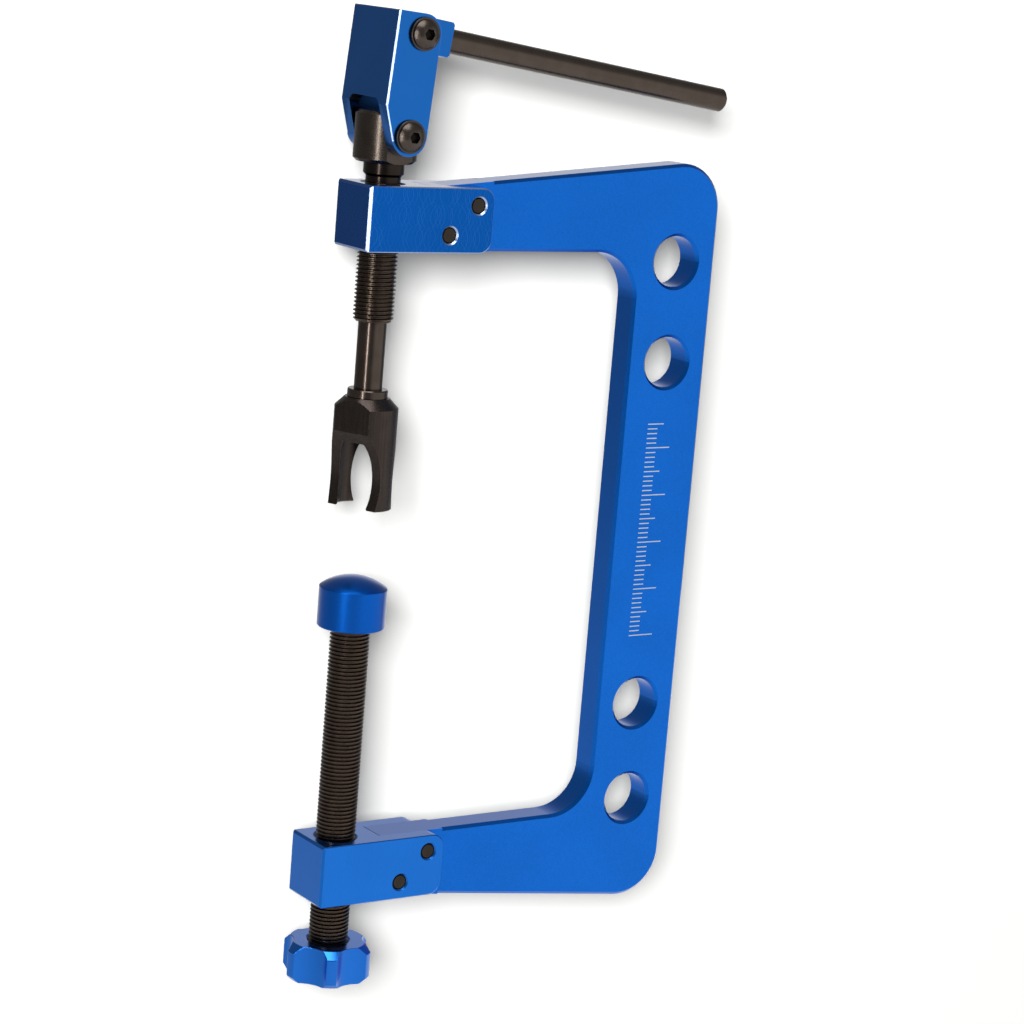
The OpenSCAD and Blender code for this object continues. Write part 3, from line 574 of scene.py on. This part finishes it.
# %% Forcing screw
SHANK_L, NECK_L, SCREW_L = 5.4 * MM, 2.6 * MM, 56.1 * MM
SPINDLE_L, COLLAR_H = 26.4 * MM, 3.2 * MM
NECK_DEPTH = 1.1 * MM
SPINDLE_R, NOSE_R = 5.55 * MM, 5.0 * MM
SHANK_EASE, COLLAR_EASE = 0.2 * MM, 0.4 * MM
screw_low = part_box("forcing_screw")[0].z
head_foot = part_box("screw_head")[0].z
shank_end = head_foot - SHANK_L
thread_top = shank_end - NECK_L
thread_end = shank_end - SCREW_L
collar_top = thread_end - SPINDLE_L
collar_foot = collar_top - COLLAR_H
neck_r = THREAD_R - NECK_DEPTH

forcing_thread = bmesh.new()
threaded_rod(forcing_thread, thread_end, thread_top, NECK_DEPTH)
shank = bmesh.new()
turned(shank, [(0, head_foot), (THREAD_R - SHANK_EASE, head_foot), (THREAD_R, head_foot - SHANK_EASE),
    (THREAD_R, shank_end + NECK_DEPTH), (neck_r, shank_end), (neck_r, thread_top), (0, thread_top)])
spindle = bmesh.new()
turned(spindle, [(0, thread_end), (SPINDLE_R, thread_end), (SPINDLE_R, collar_top),
    (THREAD_R - COLLAR_EASE, collar_top), (THREAD_R, collar_top - COLLAR_EASE), (THREAD_R, collar_foot),
    (NOSE_R, collar_foot), (NOSE_R, screw_low), (0, screw_low)])
screw_piece = piece_from("forcing_screw_threaded",
    [(forcing_thread, thread_oxide), (shank, neck_painted_shade_oxide), (spindle, spindle_oxide)],
    "screw", ["forcing_screw"])
smooth_by_angle(screw_piece, SMOOTH_BELOW)

# %% Anvil screw
pad_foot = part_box("anvil_pad")[0].z
anvil_low, anvil_high = (corner.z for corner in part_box("anvil_screw"))
anvil_thread = bmesh.new()
threaded_rod(anvil_thread, anvil_low, pad_foot, NECK_DEPTH)
nose = bmesh.new()
turned(nose, [(0, pad_foot), (NOSE_R, pad_foot), (NOSE_R, anvil_high), (0, anvil_high)])
anvil_piece = piece_from("anvil_screw_threaded", [(anvil_thread, thread_oxide), (nose, spindle_oxide)],
    "anvil_drive", ["anvil_screw"])
smooth_by_angle(anvil_piece, SMOOTH_BELOW)


# %% [markdown]
# ## Eased edges
# No machined edge is perfectly sharp: deburring and handling leave a small round that catches the
# light, and that bright line tells the eye how hard an edge is. The imported meshes are loose
# triangles, so a copy is merged and its flat triangles are joined. Then its sharp edges are
# bevelled by the width of the round. The strips are smooth in themselves but sharp where they meet
# a face, which keeps the flat faces flat in the light. The hexagon sockets of the button screws get
# a near-black finish of their own, which paints in the shade deep inside them.

# %% Eased edges
SOCKET_R = 2.02 * MM


def eased(name, body, material, width, from_angle=40):
    """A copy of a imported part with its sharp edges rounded, in the place of that part."""
    shape = bmesh.new()
    shape.from_mesh(nodes[name].data)
    bmesh.ops.remove_doubles(shape, verts=shape.verts, dist=0.002 * MM)
    bmesh.ops.dissolve_limit(shape, angle_limit=math.radians(0.5), verts=shape.verts, edges=shape.edges)
    bmesh.ops.recalc_face_normals(shape, faces=shape.faces)
    inner = [edge for edge in shape.edges if len(edge.link_faces) == 2]
    hard = [edge for edge in inner if edge.calc_face_angle() > math.radians(from_angle)]
    strips = set(bmesh.ops.bevel(
        shape, geom=hard, offset=width, offset_type="OFFSET", segments=2, profile=0.5,
        affect="EDGES", clamp_overlap=True, material=-1,
    )["faces"])
    for face in shape.faces:
        face.smooth = True
    for edge in shape.edges:
        beside = [face in strips for face in edge.link_faces]
        gentle = not any(beside) and edge.calc_face_angle(math.pi) < math.radians(SMOOTH_BELOW)
        edge.smooth = all(beside) or gentle
    finishes = [material]
    # Faces inside the hex socket get the near-black finish: painted shade
    if name in BUTTONS:
        finishes.append(socket_painted_shade)
        middle = sum(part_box(name), Vector()) / 2
        for face in shape.faces:
            away = face.calc_center_median() - middle
            face.material_index = 1 if math.hypot(away.x, away.z) < SOCKET_R else 0
    return piece_from(name + "_eased", [(shape, *finishes)], body, [name])


EASED = [
    ("yoke", "yoke", yoke_blue, "anodised_blue", 0.30),
    ("handle_block", "handle", yoke_blue, "anodised_blue", 0.30),
    ("anvil_pad", "anvil", pad_blue, "anodised_blue", 0.20),
    ("knob", "anvil_drive", knob_blue, "anodised_blue", 0.20),
    ("screw_head", "screw", head_steel, "turned_steel", 0.25),
    ("fork_tip", "tip", fork_oxide, "black_oxide", 0.10),
]
for name in BUTTONS + WASHERS:
    EASED.append((name, "screw" if name.startswith("yoke") else "handle", black_oxide, "black_oxide", 0.15))
for name, body, material, slot, width in EASED:
    eased(name, body, material, width * MM)


# %% [markdown]
# ## Scale marks
# A plain scale of white lines runs up the spine, every tenth one longer and every fifth one a little
# longer. The marks could be drawn by the material, but thin tiles of paint keep crisp ends at any
# distance. Each tile is one cube of bmesh, squeezed to the size of its line.

# %% Scale marks
MARK_LEFT, MARK_LOW, MARK_STEP, MARKS = 132.5 * MM, -32 * MM, 2 * MM, 46
LONG_MARK, MIDDLE_MARK, SHORT_MARK = 12 * MM, 8 * MM, 5 * MM
MARK_WIDTH, PAINT_DEPTH = 0.45 * MM, 0.03 * MM
paint, paint_tree, paint_shader, _ = blank_material("scale_white")
wire(paint_tree, paint_shader, base_color=(0.80, 0.88, 0.97, 1), roughness=0.5)
scale = bmesh.new()
face_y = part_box("c_frame")[0].y
for count in range(MARKS):
    length = LONG_MARK if count % 10 == 0 else MIDDLE_MARK if count % 5 == 0 else SHORT_MARK
    spot = Matrix.Translation((MARK_LEFT + length / 2, face_y, MARK_LOW + count * MARK_STEP))
    size = Matrix.Diagonal((length, PAINT_DEPTH, MARK_WIDTH, 1))
    bmesh.ops.create_cube(scale, size=1.0, matrix=spot @ size)
piece_from("spine_scale", [(scale, paint)], "frame")


# %% [markdown]
# ## The studio
# The photograph shows the tool against white, with a soft shadow just below and to the right of it.
# A vertical board close behind the tool catches that shadow. It is grey and strongly lit, because on
# a white board the light of the room would fill the shadow in. The board shows only to the camera
# and only from its front, so it neither lights nor hides the tool. A pale round floor lies lower
# down. A dark room with a few bright panels suits shiny metal, since a flat face takes the tone of
# whatever it mirrors.

# %% The studio
WALL_GAP = 9 * MM
FLOOR_DROP = 0.12
FLOOR_R = 1.35
WARM_GREY = (0.20, 0.20, 0.196, 1)
FLOOR_WHITE = (0.9, 0.9, 0.9, 1)
FRONT_RIGHT, REAR_RIGHT = (0.568, -0.823, 0), (0.568, 0.823, 0)
scene = bpy.context.scene
scene.view_settings.view_transform = "Standard"


def stage_sheet(name, shape, matrix, material):
    """A flat sheet of the stage, which isn't part of the tool."""
    bmesh.ops.transform(shape, matrix=matrix, verts=shape.verts)
    mesh = bpy.data.meshes.new(name)
    shape.to_mesh(mesh)
    shape.free()
    mesh.materials.append(material)
    sheet = bpy.data.objects.new(name, mesh)
    scene.collection.objects.link(sheet)


def white_sheet(name, colour, glow, far_glow, front_only):
    """Pale matt sheet. To the camera it adds a glow, from the front right to the rear left."""
    material, tree, shader, place = blank_material(name)
    tree.nodes.remove(shader)
    matt = add(tree, "BsdfDiffuse", {"Color": colour})
    across = add(tree, "VectorMath", {0: place, 1: FRONT_RIGHT}, operation="DOT_PRODUCT")
    glowing = band(tree, across.outputs["Value"], -0.6, 0.6, far_glow, glow)
    light = add(tree, "Emission", {"Color": (1, 1, 1, 1), "Strength": glowing})
    bright = add(tree, "AddShader", {0: matt.outputs[0], 1: light.outputs[0]})
    path = add(tree, "LightPath")
    if front_only:
        front = math_node(tree, "SUBTRACT", 1.0, add(tree, "NewGeometry").outputs["Backfacing"])
        shown = math_node(tree, "MULTIPLY", front, path.outputs["Is Camera Ray"])
        other = add(tree, "BsdfTransparent")
    else:
        shown = math_node(tree, "MAXIMUM", path.outputs["Is Camera Ray"], path.outputs["Is Glossy Ray"])
        shown = math_node(tree, "MAXIMUM", shown, path.outputs["Is Transmission Ray"])
        other = matt
    final = add(tree, "MixShader", {0: shown, 1: other.outputs[0], 2: bright.outputs[0]})
    tree.links.new(final.outputs[0], tree.nodes["Material Output"].inputs["Surface"])
    return material


low, high = PARTS_BOX
middle = (low + high) / 2
board = bmesh.new()
bmesh.ops.create_grid(board, x_segments=1, y_segments=1, size=2.0)
wall_spot = Matrix.Translation((middle.x, high.y + WALL_GAP, middle.z))
wall_place = wall_spot @ Matrix.Rotation(math.pi / 2, 4, "X")
wall_grey = white_sheet("backdrop_white", WARM_GREY, glow=0.14, far_glow=0.14, front_only=True)
stage_sheet("backdrop", board, wall_place, wall_grey)
disc = bmesh.new()
bmesh.ops.create_circle(disc, cap_ends=True, segments=96, radius=FLOOR_R)
floor_place = Matrix.Translation((0, 0, low.z - FLOOR_DROP))
floor_white = white_sheet("floor_white", FLOOR_WHITE, glow=0.75, far_glow=0.35, front_only=False)
stage_sheet("floor", disc, floor_place, floor_white)
print("stage: wall", round(high.y + WALL_GAP, 4), "floor", round(low.z - FLOOR_DROP, 4))


# %% [markdown]
# ## Lamps and world
# Four lamps stand in front. A wide one behind the camera throws the soft shadow, and it is linked to
# the board alone, so that its glare stays off the metal. A slim strip on the left draws the bright
# lines along the rods. It is linked to those pieces, since it would wash out the broad plate, and a
# fainter one in its place does the same for the bevels of the flat blue pieces. A square one overhead,
# the key, puts small lights on corners, chamfers and screw heads. The world is a dark room with two
# bright panels: the one in front on the right lights the flat front faces, and the one behind is what
# the top faces mirror.

# %% Lamps
def softbox(name, azimuth, height, distance, aim_z, width, tall, watts):
    """A soft lamp that faces the tool. Azimuth 0 is in front, and turns towards the left."""
    turn = math.radians(azimuth)
    spot = Vector((-math.sin(turn) * distance, -math.cos(turn) * distance, height))
    lamp = bpy.data.lights.new(name, "AREA")
    lamp.shape = "RECTANGLE"
    lamp.size = width
    lamp.size_y = tall
    lamp.energy = watts
    holder = bpy.data.objects.new(name, lamp)
    holder.location = spot
    holder.rotation_mode = "QUATERNION"
    holder.rotation_quaternion = (Vector((0, 0, aim_z)) - spot).to_track_quat("-Z", "Y")
    scene.collection.objects.link(holder)
    return holder


def light_only(lamp, names):
    """Links a lamp to the named objects, so that it lights nothing else."""
    lit = bpy.data.collections.new(lamp.name + "_lights")
    for name in names:
        lit.objects.link(bpy.data.objects[name])
    lamp.light_linking.receiver_collection = lit


BEVELLED = ["upper_jaw", "yoke_eased", "handle_block_eased"]
STREAKED = ["forcing_screw_threaded", "anvil_screw_threaded", "handle_rod"]
STREAKED += [item[0] + "_eased" for item in EASED if item[0] + "_eased" not in BEVELLED]
UNKEYED = ("backdrop", "floor", "c_frame")
KEYED = [name for name in bpy.data.objects.keys() if name not in UNKEYED]
STRIP = {"azimuth": 58, "height": 0.15, "distance": 0.5, "aim_z": 0.15, "width": 0.045, "tall": 0.42}
shade = softbox("shade", azimuth=38.6, height=1.2, distance=4.05, aim_z=0.03, width=1.5, tall=1.5, watts=1200)
strip = softbox("strip", watts=1.1, **STRIP)
faint_strip = softbox("faint_strip", watts=0.45, **STRIP)
key = softbox("key", azimuth=40, height=1.2, distance=0.42, aim_z=0.0, width=0.8, tall=0.8, watts=9)
for lamp, lit in ((shade, ["backdrop"]), (strip, STREAKED), (faint_strip, BEVELLED), (key, KEYED)):
    light_only(lamp, lit)

# %% World
ROOM_LEVEL = 0.26
FRONT_LEVEL, BACK_LEVEL = 0.75, 0.5
HIGH_SHARE = 0.15
world = bpy.data.worlds.new("studio")
scene.world = world
world.use_nodes = True
sky = world.node_tree
sky.nodes.clear()
way = add(sky, "SeparateXYZ", {0: add(sky, "TexCoord").outputs["Generated"]}).outputs
flat = add(sky, "CombineXYZ", {"X": way["X"], "Y": way["Y"]})
flat = add(sky, "VectorMath", {0: flat.outputs[0]}, operation="NORMALIZE").outputs[0]


def panel(toward, starts, full, level):
    """Brightness of an upright panel of the room, which fades in round its middle direction."""
    turn = add(sky, "VectorMath", {0: flat, 1: toward}, operation="DOT_PRODUCT").outputs["Value"]
    return band(sky, turn, starts, full, 0.0, level)


front_panel = panel(FRONT_RIGHT, starts=0.55, full=0.92, level=FRONT_LEVEL)
back_panel = panel(REAR_RIGHT, starts=0.95, full=0.99, level=BACK_LEVEL)
panels = math_node(sky, "ADD", front_panel, back_panel)
low_part = band(sky, way["Z"], 0.25, 0.6, 1.0, HIGH_SHARE)
level = math_node(sky, "ADD", math_node(sky, "MULTIPLY", panels, low_part), ROOM_LEVEL)
room = add(sky, "Background", {"Color": (1, 1, 1, 1), "Strength": level})
white = add(sky, "Background", {"Color": (1, 1, 1, 1), "Strength": 1.0})
path = add(sky, "LightPath")
choice = add(sky, "MixShader", {0: path.outputs["Is Camera Ray"], 1: room.outputs[0], 2: white.outputs[0]})
sky.links.new(choice.outputs[0], add(sky, "OutputWorld").inputs["Surface"])
print("world:", world.name, "room", ROOM_LEVEL, "front", FRONT_LEVEL, "back", BACK_LEVEL)


# %% [markdown]
# ## The camera
# The lens and the place were found by matching the corners and axes of the parts to the photograph.
# Aiming by azimuth, pitch and roll keeps the three angles readable.

# %% The camera
LENS, SENSOR = 103.1, 36.0
CAMERA_SPOT = Vector((-589.1, -959.3, 255.1)) * MM
AZIMUTH, PITCH_DOWN, ROLL = (math.radians(a) for a in (34.594, 11.30, 4.754))
level_aim = Vector((math.sin(AZIMUTH), math.cos(AZIMUTH), 0)) * math.cos(PITCH_DOWN)
aim = level_aim - Vector((0, 0, math.sin(PITCH_DOWN)))
lens = bpy.data.cameras.new("camera")
lens.lens = LENS
lens.sensor_width = SENSOR
lens.clip_start = 0.05
camera = bpy.data.objects.new("camera", lens)
level_turn = aim.to_track_quat("-Z", "Y").to_matrix().to_4x4()
camera.matrix_world = Matrix.Translation(CAMERA_SPOT) @ level_turn @ Matrix.Rotation(ROLL, 4, "Z")
scene.collection.objects.link(camera)
scene.camera = camera
print("camera:", LENS, "mm at", [round(c, 4) for c in CAMERA_SPOT])
